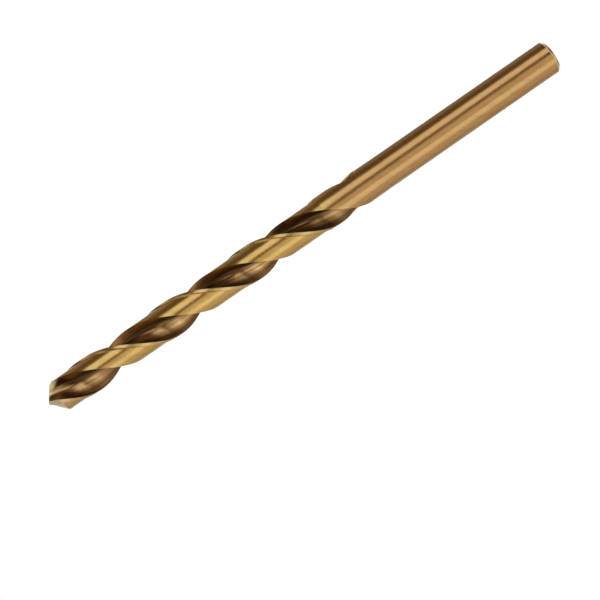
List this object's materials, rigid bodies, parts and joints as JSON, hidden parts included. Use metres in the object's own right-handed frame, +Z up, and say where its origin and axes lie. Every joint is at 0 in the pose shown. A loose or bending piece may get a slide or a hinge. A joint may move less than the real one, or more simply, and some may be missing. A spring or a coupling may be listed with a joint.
{
  "type": "twist drill bit",
  "caption": "Jobber twist drill for metal with a plain round shank, helical flutes, narrow margins, a straw-gold finish and a ground point.",
  "frame": {"origin": "centre of the flat shank end, which the drill stands on", "axes": "+Z up the drill's axis from the shank end to the point; +X along the first lip at the point"},
  "size_m": [0.005, 0.005, 0.0859],
  "materials": {
    "straw_steel": "satin straw-gold oxide on ground high-speed steel"
  },
  "bodies": {
    "root": {"twist_drill": "straw_steel"}
  },
  "joints": []
}
